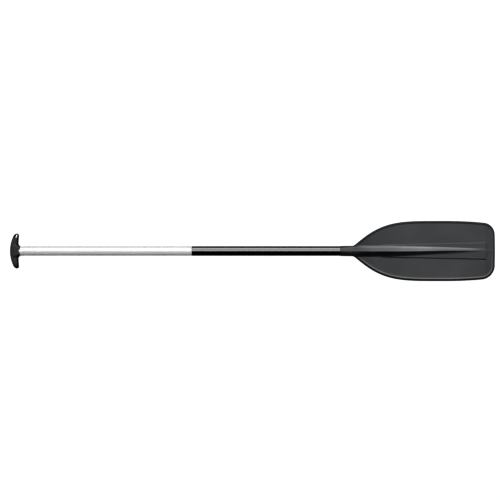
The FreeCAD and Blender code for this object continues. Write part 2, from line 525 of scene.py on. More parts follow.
@dataclass(frozen=True)
class Finish:
    """What every finish shares: its name and the numbers that are the same all over it."""

    name: str
    specular: float = 0.5
    metallic: float = 0.0

    def begin(self) -> tuple[bpy.types.Material, Graph, bpy.types.Node]:
        """Start a material with a shader whose plain numbers are set.

        Returns:
            The material, its graph and its shader.
        """
        material = bpy.data.materials.new(self.name)
        material.use_nodes = True
        material.node_tree.nodes.clear()
        graph = Graph(material.node_tree)
        shader = graph.node("ShaderNodeBsdfPrincipled")
        end = graph.node("ShaderNodeOutputMaterial")
        graph.feed(end, "Surface", shader.outputs[0])
        shader.inputs["Specular IOR Level"].default_value = self.specular
        shader.inputs["Metallic"].default_value = self.metallic
        return material, graph, shader

    @staticmethod
    def bump(graph: Graph, shader: bpy.types.Node, height: object, distance: float) -> None:
        """Feed a height to the shader's normal.

        Args:
            graph: the material's graph.
            shader: its shader.
            height: the height, from 0 to 1.
            distance: the height's full range in metres.
        """
        made = graph.node("ShaderNodeBump")
        made.inputs["Strength"].default_value = 1.0
        made.inputs["Distance"].default_value = distance
        graph.feed(made, "Height", height)
        graph.feed(shader, "Normal", made.outputs[0])


@dataclass(frozen=True)
class MouldedPlastic(Finish):
    """Black polypropylene as moulded: satin and finely pitted, glossier where the mould was polished."""

    colour: Colour = (0.0045, 0.0047, 0.0054, 1.0)
    shaded: Colour = (0.003825, 0.003995, 0.00459, 1.0)
    tint: Colour = (1.0, 1.0, 1.0, 1.0)
    # painted shade: the rolled rim's colour, darker than the panel
    painted_rim_shade: Colour = (0.004, 0.0042, 0.005, 1.0)
    worn: Colour = (0.04, 0.04, 0.042, 1.0)
    satin: float = 0.54
    satin_spread: float = 0.02
    neck_roughness: float = 0.2
    skin_roughness: float = 0.38
    skin_spread: float = 0.11
    skin_ior: float = 1.6
    pits: float = 900.0
    pit_depth: float = 0.00005

    def make(self, effects: Effects) -> bpy.types.Material:
        """Build the material.

        Three marks on the mesh steer it: "gloss" is the weight of the skin, "edge" is the share of the
        rolled rim, whose colour it darkens as painted shade, and "dull" is the share of the rougher neck.

        Args:
            effects: the shared node groups.

        Returns:
            The material.
        """
        material, graph, shader = self.begin()
        shader.inputs["Coat Roughness"].default_value = self.skin_roughness
        shader.inputs["Coat IOR"].default_value = self.skin_ior
        shader.inputs["Specular Tint"].default_value = self.tint
        grain = effects.grain.place(graph, pits_per_metre=self.pits)
        cloud = effects.clouds.place(graph, size_per_metre=11.0).outputs["cloud"]
        scratch = effects.scratches.place(graph, amount=0.5).outputs["scratch"]
        base = graph.blend(grain.outputs["tone"], self.shaded, self.colour)
        # painted shade: the edge mark darkens the rolled rim's colour
        base = graph.blend(graph.mark("edge"), base, self.painted_rim_shade)
        wear = graph.maths(Maths.MULTIPLY, scratch, graph.remap(cloud, 0.2, 1.0, 0.1, 0.4))
        graph.feed(shader, "Base Color", graph.blend(wear, base, self.worn))
        low, high = self.satin - self.satin_spread, self.satin + self.satin_spread
        satin = graph.remap(cloud, 0.0, 1.0, low, high)
        dull = graph.maths(Maths.MULTIPLY, graph.mark("dull"), self.neck_roughness)
        graph.feed(shader, "Roughness", graph.maths(Maths.ADD, satin, dull))
        uneven = graph.remap(cloud, 0.0, 1.0, 1.0 - self.skin_spread, 1.0 + self.skin_spread)
        graph.feed(shader, "Coat Weight", graph.maths(Maths.MULTIPLY, graph.mark("gloss"), uneven))
        self.bump(graph, shader, grain.outputs["height"], self.pit_depth)
        return material


@dataclass(frozen=True)
class SatinAlloy(Finish):
    """Drawn aluminium tube, etched and clear-anodised."""

    colour: Colour = (0.25, 0.25, 0.252, 1.0)
    shaded: Colour = (0.24, 0.24, 0.242, 1.0)
    satin: float = 0.52
    line_height: float = 0.0000015

    def make(self, effects: Effects) -> bpy.types.Material:
        """Build the material: drawn lines in colour, roughness and height, and a few hairlines.

        Args:
            effects: the shared node groups.

        Returns:
            The material.
        """
        material, graph, shader = self.begin()
        lines = effects.lines.place(graph, strength=1.0)
        cloud = effects.clouds.place(graph, size_per_metre=6.0).outputs["cloud"]
        scratch = effects.scratches.place(graph, amount=0.6).outputs["scratch"]
        graph.feed(shader, "Base Color", graph.blend(lines.outputs["line"], self.shaded, self.colour))
        satin = graph.remap(lines.outputs["line"], 0.0, 1.0, self.satin + 0.03, self.satin - 0.03)
        cloudy = graph.maths(Maths.ADD, satin, graph.maths(Maths.MULTIPLY, cloud, 0.03))
        scratched = graph.maths(Maths.MULTIPLY, scratch, 0.1)
        graph.feed(shader, "Roughness", graph.maths(Maths.ADD, cloudy, scratched))
        self.bump(graph, shader, lines.outputs["height"], self.line_height)
        return material


@dataclass(frozen=True)
class ShrunkSleeve(Finish):
    """Glossy black plastic shrunk tight over the tube."""

    colour: Colour = (0.0015, 0.0015, 0.0016, 1.0)
    scuffed: Colour = (0.01, 0.01, 0.011, 1.0)
    gloss: float = 0.14
    peel_height: float = 0.000008

    def make(self, effects: Effects) -> bpy.types.Material:
        """Build the material: faint lines of the tube beneath, orange peel and light scuffs.

        Args:
            effects: the shared node groups.

        Returns:
            The material.
        """
        material, graph, shader = self.begin()
        lines = effects.lines.place(graph, strength=0.5)
        cloud = effects.clouds.place(graph, size_per_metre=9.0).outputs["cloud"]
        scratch = effects.scratches.place(graph, amount=0.5).outputs["scratch"]
        peel = graph.noise(graph.stretched((1.0, 1.0, 1.0)), 260.0, 1.0)
        graph.feed(shader, "Base Color", graph.blend(scratch, self.colour, self.scuffed))
        gloss = graph.remap(cloud, 0.0, 1.0, self.gloss - 0.02, self.gloss + 0.03)
        scratched = graph.maths(Maths.MULTIPLY, scratch, 0.12)
        graph.feed(shader, "Roughness", graph.maths(Maths.ADD, gloss, scratched))
        height = graph.maths(Maths.ADD, graph.maths(Maths.MULTIPLY, peel, 0.6), lines.outputs["height"])
        self.bump(graph, shader, height, self.peel_height)
        return material


@dataclass(frozen=True)
class CuredGlue(Finish):
    """Amber epoxy, a little cloudy."""

    colour: Colour = (0.52, 0.36, 0.12, 1.0)
    cloudy: Colour = (0.66, 0.53, 0.27, 1.0)

    def make(self, effects: Effects) -> bpy.types.Material:
        """Build the material: cloudy patches over clear amber, smooth with small ripples.

        Args:
            effects: the shared node groups.

        Returns:
            The material.
        """
        material, graph, shader = self.begin()
        cloud = effects.clouds.place(graph, size_per_metre=60.0).outputs["cloud"]
        graph.feed(shader, "Base Color", graph.blend(cloud, self.colour, self.cloudy))
        graph.feed(shader, "Roughness", graph.remap(cloud, 0.0, 1.0, 0.16, 0.3))
        self.bump(graph, shader, cloud, 0.00008)
        return material


@dataclass(frozen=True)
class ClosedCellFoam(Finish):
    """White polyethylene foam: small closed cells with thin walls between them."""

    wall: Colour = (0.80, 0.80, 0.77, 1.0)
    # painted shade: colour of the cell hollows
    painted_hollow_shade: Colour = (0.58, 0.58, 0.55, 1.0)
    cells: float = 620.0

    def make(self, effects: Effects) -> bpy.types.Material:
        """Build the material: rounded cells in height, their hollows darkened in colour as painted shade,
        duller in slow patches.

        Args:
            effects: the shared node groups.

        Returns:
            The material.
        """
        material, graph, shader = self.begin()
        cells = graph.node("ShaderNodeTexVoronoi", feature="SMOOTH_F1")
        graph.feed(cells, "Vector", graph.stretched((1.0, 1.0, 1.0)))
        graph.feed(cells, "Scale", self.cells)
        distance = cells.outputs["Distance"]
        cloud = effects.clouds.place(graph, size_per_metre=40.0).outputs["cloud"]
        walls = graph.remap(distance, 0.25, 0.7, 0.0, 1.0)
        # painted shade: the cell hollows are darker than the walls
        graph.feed(shader, "Base Color", graph.blend(walls, self.painted_hollow_shade, self.wall))
        graph.feed(shader, "Roughness", graph.remap(cloud, 0.0, 1.0, 0.75, 0.9))
        self.bump(graph, shader, distance, 0.0006)
        return material


def dress(piece: bpy.types.Object, material: bpy.types.Material) -> None:
    """Give a piece its only material.

    Args:
        piece: the piece.
        material: its material.
    """
    piece.data.materials.clear()
    piece.data.materials.append(material)


@dataclass
class ShaftTube:
    """The drawn tube, with its mouths turned clean inside and out."""

    datum: Datum
    wall: float = 1.5
    break_edge: float = 0.25
    sides: int = 128
    rings: int = 60

    def profile(self) -> np.ndarray:
        """Lay out the closed profile, with broken corners.

        Returns:
            Rows of (station, radius): outside, end, bore, end.
        """
        start, end = self.datum.stations("shaft_tube")
        outer = self.datum.radius("shaft_tube")
        inner = outer - self.wall
        soft = self.break_edge
        along = np.linspace(start + soft, end - soft, self.rings)
        outside = np.stack([along, np.full(self.rings, outer)], axis=-1)
        inside = np.stack([along[::-1], np.full(self.rings, inner)], axis=-1)
        far = [[end, outer - soft], [end, inner + soft]]
        near = [[start, inner + soft], [start, outer - soft]]
        return np.concatenate([outside, far, inside, near])

    def build(self, material: bpy.types.Material) -> bpy.types.Object:
        """Build and dress the tube.

        Args:
            material: its finish.

        Returns:
            The piece.
        """
        shell = SkinMesh(self.datum)
        closed_turn(shell, self.profile(), self.sides)
        piece = shell.build("shaft_tube_drawn", 30.0)
        dress(piece, material)
        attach(piece, BODY)
        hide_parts("shaft_tube")
        return piece


@dataclass
class ShaftSleeve:
    """The sleeve, shrunk onto the tube: a rounded cut edge, and a skin that is nearly even."""

    datum: Datum
    clearance: float = 0.02
    lip: float = 0.35
    ripple: float = 0.012
    ripple_waves: tuple[float, float] = (17.0, 7.3)
    ripple_share: float = 0.6
    ripple_settles: float = 6.0
    lip_marks: tuple[float, ...] = (0.0, 0.02, 0.08, 0.18, 0.32)
    sides: int = 128
    rings: int = 240

    def outside(self, share: np.ndarray, start: float, end: float) -> np.ndarray:
        """Return the sleeve's radius along its length.

        Args:
            share: 0 at the cut edge towards the grip and 1 at the blade's neck.
            start: first station.
            end: last station.

        Returns:
            The radius: round over the cut edge by a quarter ellipse, with two slow ripples added.
        """
        outer = self.datum.radius("shaft_sleeve")
        inner = self.datum.radius("shaft_tube") + self.clearance
        station = start + share * (end - start)
        slow, quick = self.ripple_waves
        wave = np.sin(station / slow) + self.ripple_share * np.sin(station / quick + 1.0)
        nearest = np.minimum(station - start, end - station)
        rounding = np.clip(1.0 - nearest / self.lip, 0.0, 1.0)
        sink = self.ripple * (1.0 + self.ripple_share - wave)
        full = outer - sink * smooth_step(0.0, self.ripple_settles, nearest)
        return inner + (full - inner) * np.sqrt(1.0 - rounding * rounding)

    def build(self, material: bpy.types.Material) -> bpy.types.Object:
        """Build and dress the sleeve.

        Args:
            material: its finish.

        Returns:
            The piece.
        """
        start, end = self.datum.stations("shaft_sleeve")
        share = np.linspace(0.0, 1.0, self.rings)
        close = np.array(self.lip_marks) * self.lip / (end - start)
        share = np.concatenate([close, share[1:-1], 1.0 - close[::-1]])
        station = start + share * (end - start)
        outer = np.stack([station, self.outside(share, start, end)], axis=-1)
        inner_radius = self.datum.radius("shaft_tube") + self.clearance
        inner = np.stack([station[-2:0:-1], np.full(len(station) - 2, inner_radius)], axis=-1)
        inner[:, 1] -= self.clearance / 2
        shell = SkinMesh(self.datum)
        closed_turn(shell, np.concatenate([outer, inner]), self.sides)
        piece = shell.build("shaft_sleeve_shrunk", 50.0)
        dress(piece, material)
        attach(piece, BODY)
        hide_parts("shaft_sleeve")
        return piece


Ramps = tuple[tuple[float, Ramp], ...]


@dataclass(frozen=True)
class BladeLook:
    """How glossy the mould left each part of the blade, as the weight of its skin from 0 to 1."""

    panel: float = 0.29
    panel_gain: float = 0.09
    panel_even: float = 1240.0
    lower_gain: float = 0.15
    lower_side: Ramp = Ramp(-10.0, -30.0)
    tip_line: float = 1473.0
    tip_line_width: float = 2.0
    tip_loss: float = 0.16
    tip_ramp: Ramp = Ramp(-3.0, 3.0)
    corner_loss: float = 0.2
    corner_along: Ramp = Ramp(1415.0, 1490.0)
    corner_across: Ramp = Ramp(0.0, -50.0)
    ridge: float = 0.62
    ridge_gains: Ramps = ((0.04, Ramp(1070.0, 1130.0)), (0.3, Ramp(1150.0, 1240.0)))
    ridge_base: float = 0.8
    flank_gain: float = 0.5
    flank_place: float = 0.72
    flank_width: float = 0.17
    crest_gain: float = 0.25
    crest_width: float = 0.12
    ridge_edge: Ramp = Ramp(1.05, 0.85)
    ridge_ends: Ramp = Ramp(1494.9, 1400.0)
    lip_gain: float = 0.5
    lip_depth: float = 5.7
    lip_width: float = 1.6
    lip_side: Ramp = Ramp(0.0, -40.0)
    inside: Ramp = Ramp(3.0, 6.0)
    # where the rim's painted shade lies: full within 3.8 mm of the outline
    edge: Ramp = Ramp(6.0, 3.8)
    rim_starts: Ramp = Ramp(1048.0, 1088.0)
    dull: Ramp = Ramp(1138.0, 1048.0)


@dataclass
class Blade:
    """The moulded blade: neck, spine, raised band, thin panels and a rolled rim, on a cored spigot.

    Its plan is an outline worked out from a few lengths. Rows inside the outline carry the rim, and a
    patch stretched between them carries the rest. Each point's height is a formula of its station,
    its offset and its distance from the outline, the same above and below the middle plane.
    """

    datum: Datum
    root: float = 1038.8
    widest: float = 1335.0
    roundness: float = 4.08
    shoulder_power: float = 1.46
    taper_depth: float = 10.0
    taper_power: float = 2.5
    end_sag: float = 2.0
    upper_corner: float = 36.0
    lower_corner: float = 43.0
    neck_radius: float = 15.05
    neck_swell: float = 0.5
    neck_end: float = 1048.0
    shoulder_blend: float = 5.0
    rim_half: float = 2.65
    rim_rounding: float = 4.2
    rim_inner_low: float = 7.2
    rim_inner_high: float = 3.6
    panel_half: float = 2.0
    band_start: float = 1140.0
    band_rise: float = 30.0
    band_end: float = 1473.0
    band_close: float = 3.0
    band_width: float = 18.523
    band_opening: float = 0.021
    band_step: float = 1.0
    band_edge: float = 1.2
    band_crown: float = 0.006
    crown_round: float = 3.0
    neck_flare: float = 3.0
    flare: Ramp = Ramp(-14.0, 26.0)
    neck_sinks: float = 75.0
    neck_fillet: float = 3.5
    fillet_depth: float = 4.0
    spine_full: float = 1098.0
    spine_end: float = 1478.0
    spine_end_width: float = 5.6
    spine_closing: float = 0.0405
    spine_widest: float = 17.7
    spine_height: float = 10.5
    spine_fall: float = 1.15
    spine_profile: float = 1.3
    ridge_inside: Ramp = Ramp(-2.0, 9.0)
    crest_round: float = 0.09
    crest_rounder: Ramps = ((0.25, Ramp(1160.0, 1110.0)), (0.5, Ramp(1115.0, 1070.0)))
    crest_start: float = -1.0
    crest_settles: Ramp = Ramp(1070.0, 1130.0)
    crest_shift: float = 2.6
    crest_moves: Ramp = Ramp(1230.0, 1380.0)
    foot_shift: float = 1.8
    feet_move: Ramp = Ramp(1160.0, 1380.0)
    lower_rim: float = 0.25
    lower_side: Ramp = Ramp(10.0, -30.0)
    look: BladeLook = BladeLook()
    foot_line: float = 0.85
    line_margin: float = 1.3
    line_limits: tuple[float, float, float] = (0.5, 0.66, 0.82)
    line_marks: tuple[float, ...] = (0.0, 0.15, 0.21, 0.31, 0.5, 0.69, 0.79, 0.85, 1.0)
    depth_blocks: int = 40
    seam_proud: float = 0.1
    seam_half: float = 0.12
    spigot_radius: float = 12.2
    spigot_start: float = 932.0
    core_radius: float = 8.0
    core_end: float = 1060.0
    strip_depth: float = 11.0
    side_points: int = 236
    cross_points: int = 137
    bulge_power: int = 5
    mouth_break: float = 0.3

    def __post_init__(self) -> None:
        """Read the neck's station, the blade's end and its half width from the frame."""
        self.neck_start = self.datum.stations("shaft_tube")[1]
        self.end = self.datum.stations("blade")[1]
        low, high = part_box("blade")
        self.half_width = (high.y - low.y) / 2 / MM - self.seam_proud
        self.end -= self.seam_proud

    def neck(self, station: np.ndarray) -> np.ndarray:
        """Return the round neck's radius: it swells slowly from the sleeve towards the blade."""
        return self.neck_radius + self.neck_swell * smooth_step(self.neck_start, self.neck_end, station)

    def side(self, station: np.ndarray) -> np.ndarray:
        """Work out the outline's half width.

        From the root to the widest station it is full * (1 - t^a)^b, with t running from 1 to 0; past
        it a slow power law tapers it. The neck joins it with a fillet.

        Args:
            station: distance along the shaft.

        Returns:
            The half width at each station.
        """
        t = np.clip((self.widest - station) / (self.widest - self.root), 0.0, 1.0)
        swelling = self.half_width * (1.0 - t**self.roundness) ** self.shoulder_power
        t = np.clip((station - self.widest) / (self.end - self.widest), 0.0, 1.0)
        tapered = swelling - self.taper_depth * t**self.taper_power
        return soft_max(self.neck(station), tapered, self.shoulder_blend)

    def corner(self, radius: float) -> tuple[np.ndarray, float, float, float]:
        """Fit a round corner between the long side and the bowed end.

        Args:
            radius: the corner's radius.

        Returns:
            Its centre, the station where it leaves the side, and the angles of its two ends: where it
            meets the side and where it meets the end's arc.
        """
        chord = float(self.side(np.array([self.end - self.end_sag]))[0])
        bow = (chord**2 + self.end_sag**2) / (2.0 * self.end_sag)
        bow_centre = np.array([self.end - bow, 0.0])
        station = np.linspace(self.end - 2.0 * radius, self.end - radius / 2.0, 4000)
        half = self.side(station)
        slope = np.gradient(half, station)
        inward = np.stack([slope, -np.ones_like(slope)], axis=-1) / np.hypot(slope, 1.0)[:, None]
        centres = np.stack([station, half], axis=-1) + radius * inward
        miss = np.hypot(*(centres - bow_centre).T) - (bow - radius)
        leave = float(np.interp(0.0, miss, station))
        centre = np.array([np.interp(leave, station, centres[:, k]) for k in (0, 1)])
        first = math.atan2(1.0, -float(np.interp(leave, station, slope)))
        last = math.atan2(*(centre - bow_centre)[::-1])
        return centre, leave, first, last

    def half_outline(self, radius: float) -> tuple[np.ndarray, np.ndarray]:
        """Work out one half of the outline as closely spaced points.

        Args:
            radius: that half's corner radius.

        Returns:
            The long side up to the middle of its corner, and from there to the middle of the end.
        """
        centre, leave, first, last = self.corner(radius)
        station = np.linspace(self.neck_start, leave, 3000)
        side = np.stack([station, self.side(station)], axis=-1)
        middle = (first + last) / 2.0
        turn = np.linspace(first, middle, 200)[1:]
        side = np.concatenate([side, centre + radius * np.stack([np.cos(turn), np.sin(turn)], axis=-1)])
        turn = np.linspace(middle, last, 200)
        end = centre + radius * np.stack([np.cos(turn), np.sin(turn)], axis=-1)
        bow = (end[-1, 1]) / math.sin(last)
        sweep = np.linspace(last, 0.0, 400)[1:]
        arc = np.stack([self.end - bow + bow * np.cos(sweep), bow * np.sin(sweep)], axis=-1)
        return side, np.concatenate([end, arc])

    @staticmethod
    def along(path: np.ndarray, share: np.ndarray) -> tuple[np.ndarray, np.ndarray]:
        """Find points along a path at shares of its length.

        Args:
            path: closely spaced (station, across) points.
            share: shares of its length, from 0 to 1.

        Returns:
            The points, and the unit normals to the right of the direction of travel.
        """
        step = np.hypot(*np.diff(path, axis=0).T)
        length = np.concatenate([[0.0], np.cumsum(step)])
        where = share * length[-1]
        tangent = np.gradient(path, length, axis=0)
        tangent /= np.hypot(*tangent.T)[:, None]
        points = np.stack([np.interp(where, length, path[:, k]) for k in (0, 1)], axis=-1)
        right = np.stack([tangent[:, 1], -tangent[:, 0]], axis=-1)
        normals = np.stack([np.interp(where, length, right[:, k]) for k in (0, 1)], axis=-1)
        return points, normals / np.hypot(*normals.T)[:, None]

    def strip_depths(self) -> np.ndarray:
        """Space out the strip's rows: closer where the rim rolls over, and one row for the seam.

        Returns:
            Their distances inside the outline.
        """
        turn = np.linspace(0.0, math.pi / 2, 9)
        rolled = self.rim_rounding * (1.0 - np.cos(turn))
        inner = np.linspace(self.rim_rounding, self.strip_depth, 10)[1:]
        return np.concatenate([[-self.seam_proud], rolled, inner])

    def spine_foot(self, station: np.ndarray) -> np.ndarray:
        """Return the spine's half width where it runs out into the plate: a straight taper, capped."""
        foot = self.spine_end_width + self.spine_closing * np.maximum(self.spine_end - station, 0.0)
        return np.minimum(foot, self.spine_widest)

    def spine_share(self, station: np.ndarray, across: np.ndarray) -> np.ndarray:
        """Tell how far out points lie on the spine.

        Args:
            station: distance along the shaft.
            across: offset from the axis.

        Returns:
            0 on the crest and 1 at the foot, evenly between. Crest and feet move a little to the upper
            side towards the tip.
        """
        crest = self.crest_start * self.crest_settles.of(station)
        crest = crest + self.crest_shift * self.crest_moves.of(station)
        shift = self.foot_shift * self.feet_move.of(station) - crest
        off = across - crest
        return np.abs(off) / (self.spine_foot(station) + np.sign(off) * shift)

    def band_half(self, station: np.ndarray) -> np.ndarray:
        """Return the raised band's half width, which opens slowly towards the tip."""
        return self.band_width + self.band_opening * (station - self.band_start)

    def plate(self, station: np.ndarray, across: np.ndarray, depth: np.ndarray) -> np.ndarray:
        """Work out the flat part of the blade.

        A thin panel has a crowned band stepped up along its middle and a bead stepped up along its rim,
        rolled over to nothing at the outline by a quarter ellipse.

        Args:
            station: distance along the shaft.
            across: offset from the axis.
            depth: distance inside the outline.

        Returns:
            Its half thickness.
        """
        off = np.abs(across)
        band = self.band_half(station)
        in_band = smooth_step(self.band_edge, -self.band_edge, off - band)
        in_band = in_band * smooth_step(0.0, self.band_rise, station - self.band_start)
        in_band = in_band * smooth_step(self.band_close, -self.band_close, station - self.band_end)
        crown = self.band_crown * np.maximum(band - np.hypot(off, self.crown_round), 0.0)
        in_rim = smooth_step(self.rim_inner_low, self.rim_inner_high, depth)
        plate = self.panel_half + in_band * (self.band_step + crown)
        plate = plate + in_rim * (self.rim_half - plate)
        rolled = np.clip(1.0 - depth / self.rim_rounding, 0.0, 1.0)
        return plate * np.sqrt(1.0 - rolled * rolled)

    def ridge(self, station: np.ndarray, across: np.ndarray, depth: np.ndarray) -> np.ndarray:
        """Work out what the spine adds to the plate: height * run^a * lift^b.

        Run falls evenly from 1 near the neck to 0 at the spine's end. Lift is a hyperbola across the
        spine, 1 on the crest and 0 at the foot, and rounder near the neck.

        Args:
            station: distance along the shaft.
            across: offset from the axis.
            depth: distance inside the outline.

        Returns:
            The added height.
        """
        run = np.clip((self.spine_end - station) / (self.spine_end - self.spine_full), 0.0, 1.0)
        bend = self.crest_round + sum(gain * ramp.of(station) for gain, ramp in self.crest_rounder)
        reach = np.hypot(1.0, bend)
        share = self.spine_share(station, across)
        lift = np.clip((reach - np.hypot(share, bend)) / (reach - bend), 0.0, 1.0)
        height = self.spine_height * run**self.spine_fall * lift**self.spine_profile
        return height * self.ridge_inside.of(depth)

    def neck_height(self, station: np.ndarray, across: np.ndarray) -> np.ndarray:
        """Work out the neck: an ellipse that flares at the neck's end and then sinks away.

        Args:
            station: distance along the shaft.
            across: offset from the axis.

        Returns:
            Its height above the middle plane.
        """
        past = station - self.neck_end
        radius = self.neck(station)
        half = radius + self.neck_flare * self.flare.of(past)
        height = radius * np.sqrt(np.maximum(1.0 - (across / half) ** 2, 0.0))
        return height - radius * smooth_step(0.0, self.neck_sinks, past)

    def half_thickness(self, station: np.ndarray, across: np.ndarray, depth: np.ndarray) -> np.ndarray:
        """Work out the surface: the larger of plate plus ridge and the neck, joined with a fillet.

        Args:
            station: distance along the shaft.
            across: offset from the axis.
            depth: distance inside the outline.

        Returns:
            Its height above the middle plane.
        """
        height = self.plate(station, across, depth) + self.ridge(station, across, depth)
        fillet = self.neck_fillet * np.clip(depth / self.fillet_depth, 0.0, 1.0)
        height = soft_max(height, self.neck_height(station, across), fillet)
        return np.where(depth < 0.0, 0.0, np.maximum(height, self.seam_half))

    def cross_shares(self, top: np.ndarray, bottom: np.ndarray, station: np.ndarray) -> np.ndarray:
        """Spread the patch's lines across it so that they follow the spine's foot and the band's edge.

        Args:
            top: the patch's offset on its upper side at each row.
            bottom: its offset on its lower side.
            station: each row's station.

        Returns:
            Shares from 0 on the upper side to 1 on the lower, one row for each station.
        """
        even = np.linspace(0.0, 1.0, self.cross_points)
        half = (top - bottom) / 2.0
        near, middle, far = self.line_limits
        foot = np.minimum(self.foot_line * self.spine_foot(station), near * half)
        band = self.band_half(station)
        inner = np.minimum(band - self.line_margin, middle * half)
        outer = np.minimum(band + self.line_margin, far * half)
        marks = np.array(self.line_marks)
        offsets = np.stack([top, outer, inner, foot, 0 * half, -foot, -inner, -outer, bottom], axis=-1)
        shares = (top[:, None] - offsets) / (top - bottom)[:, None]
        place = np.searchsorted(marks, even, side="right").clip(1, len(marks) - 1)
        part = (even - marks[place - 1]) / (marks[place] - marks[place - 1])
        return shares[:, place - 1] + part * (shares[:, place] - shares[:, place - 1])

    def end_row(self, path: np.ndarray) -> tuple[np.ndarray, np.ndarray, np.ndarray]:
        """Spread the patch's lines over the blade's end.

        Args:
            path: the outline from the middle of one corner to the middle of the other.

        Returns:
            The points on the outline, their inward normals, and the lines' shares across the patch.
        """
        length = np.linspace(0.0, 1.0, 2000)
        points, inward = self.along(path, length)
        across = (points + self.strip_depth * inward)[:, 1]
        station = np.array([self.end - self.strip_depth])
        shares = self.cross_shares(across[:1], across[-1:], station)[0]
        wanted = across[0] + shares * (across[-1] - across[0])
        where = np.interp(-wanted, -across, length)
        return *self.along(path, where), shares

    def plan(self) -> tuple[np.ndarray, np.ndarray, np.ndarray]:
        """Lay out the plan.

        Returns:
            The strip as rows of (station, across) along the outline by depth, the depths, and the patch
            inside it, whose edge rows are the strip's innermost ones.
        """
        upper_side, upper_end = self.half_outline(self.upper_corner)
        lower_side, lower_end = self.half_outline(self.lower_corner)
        mirror = np.array([1.0, -1.0])
        end_path = np.concatenate([upper_end, (lower_end * mirror)[-2::-1]])
        share = np.linspace(0.0, 1.0, self.side_points)
        left, left_in = self.along(upper_side, share)
        right, right_in = self.along(lower_side, share)
        right, right_in = right * mirror, right_in * mirror
        end, end_in, cross_end = self.end_row(end_path)
        outline = np.concatenate([left, end[1:-1], right[::-1]])
        inward = np.concatenate([left_in, end_in[1:-1], right_in[::-1]])
        depths = self.strip_depths()
        strip = outline[:, None, :] + depths[None, :, None] * inward[:, None, :]
        rows, columns = self.side_points, self.cross_points
        inner = strip[:, -1]
        left, end, right = inner[:rows], inner[rows - 1 : rows + columns - 1], inner[: -rows - 1 : -1]
        shares = self.cross_shares(left[:, 1], right[:, 1], (left[:, 0] + right[:, 0]) / 2.0)
        shares[-1] = cross_end
        share = shares[:, :, None]
        chord = (1.0 - cross_end)[:, None] * end[0] + cross_end[:, None] * end[-1]
        bulge = np.stack([np.interp(shares, cross_end, (end - chord)[:, k]) for k in (0, 1)], axis=-1)
        grow = np.linspace(0.0, 1.0, rows)[:, None, None] ** self.bulge_power
        patch = (1.0 - share) * left[:, None] + share * right[:, None] + grow * bulge
        return strip, depths, patch

    def gloss(self, station: np.ndarray, across: np.ndarray, depth: np.ndarray) -> np.ndarray:
        """Work out how glossy the mould left the skin.

        The panels are satin, duller past a line near the tip and at the lower corner. The spine is
        glossier, most of all along its flanks and its crest, and fades out near the tip. The rolled rim
        is dull, but the lip inside the lower one is polished.

        Args:
            station: distance along the shaft.
            across: offset from the axis.
            depth: distance inside the outline.

        Returns:
            The skin's weight.
        """
        look = self.look
        panel = look.panel + look.panel_gain * smooth_step(self.neck_end, look.panel_even, station)
        panel = panel * (1.0 + look.lower_gain * look.lower_side.of(across))
        past_line = station - look.tip_line
        tip = look.tip_ramp.of(past_line) + bell(past_line, 0.0, look.tip_line_width)
        corner = look.corner_along.of(station) * look.corner_across.of(across)
        panel = panel * (1.0 - look.tip_loss * tip - look.corner_loss * corner)
        share = self.spine_share(station, across)
        ridge = look.ridge + sum(gain * ramp.of(station) for gain, ramp in look.ridge_gains)
        flank = look.flank_gain * bell(share, look.flank_place, look.flank_width)
        crest = look.crest_gain * bell(share, 0.0, look.crest_width)
        ridge = ridge * (look.ridge_base + flank + crest)
        ridge = panel + (ridge - panel) * look.ridge_ends.of(station)
        skin = panel + look.ridge_edge.of(share) * (ridge - panel)
        lip = look.lip_gain * bell(depth, look.lip_depth, look.lip_width) * look.lip_side.of(across)
        return (skin + lip) * (1.0 - look.rim_starts.of(station) * (1.0 - look.inside.of(depth)))

    def faces_of(self, shell: SkinMesh, flat: np.ndarray, depth: np.ndarray, up: float) -> np.ndarray:
        """Add one face's points and their marks.

        Args:
            shell: the mesh to add to.
            flat: a grid of (station, across).
            depth: each point's distance inside the outline.
            up: 1 for the upper face and -1 for the lower.

        Returns:
            The points' numbers.
        """
        station, across = flat[..., 0], flat[..., 1]
        depth = depth * (1.0 - self.lower_rim * self.lower_side.of(across))
        height = self.half_thickness(station, across, depth)
        # painted shade mask: 1 on the rolled rim, whose colour the material darkens
        edge = self.look.edge.of(depth) * self.look.rim_starts.of(station)
        dull = self.look.dull.of(station)
        points = np.stack([station, across, up * height], axis=-1)
        return shell.add(points, gloss=self.gloss(station, across, depth), edge=edge, dull=dull)

    def patch_depth(self, patch: np.ndarray, outline: np.ndarray) -> np.ndarray:
        """Measure how far the patch's points lie from the nearest point of the outline.

        Args:
            patch: a grid of (station, across).
            outline: closely spaced points of the outline.

        Returns:
            Each patch point's distance, in the grid's shape.
        """
        blocks = np.array_split(patch.reshape(-1, 2), self.depth_blocks)
        nearest = [np.hypot(*(block[:, None] - outline[None]).T).min(axis=0) for block in blocks]
        return np.concatenate(nearest).reshape(patch.shape[:-1])

    def spigot(self, shell: SkinMesh, mouth: np.ndarray) -> None:
        """Carry the neck's mouth down to the spigot, along it and back up its core.

        Args:
            shell: the blade's mesh.
            mouth: the numbers of the points round the neck's start, in order.
        """
        points = np.concatenate(shell.points)[mouth]
        angles = np.arctan2(points[:, 2], points[:, 1])
        small = self.mouth_break
        profile = np.array([
            [self.neck_start, self.spigot_radius + small],
            [self.neck_start - small, self.spigot_radius],
            [self.spigot_start + 1.0, self.spigot_radius],
            [self.spigot_start, self.spigot_radius - 1.0],
            [self.spigot_start, self.core_radius + small],
            [self.spigot_start + small, self.core_radius],
            [self.core_end - 4.0, self.core_radius],
            [self.core_end - 1.2, self.core_radius * 0.75],
            [self.core_end - 0.3, self.core_radius * 0.4],
        ])
        rings = shell.add(turned_points(profile, angles))
        index = np.concatenate([mouth[None], rings])
        shell.skin(np.concatenate([index, index[:, :1]], axis=1))
        shell.cap(rings[-1], np.array([self.core_end, 0.0, 0.0]))

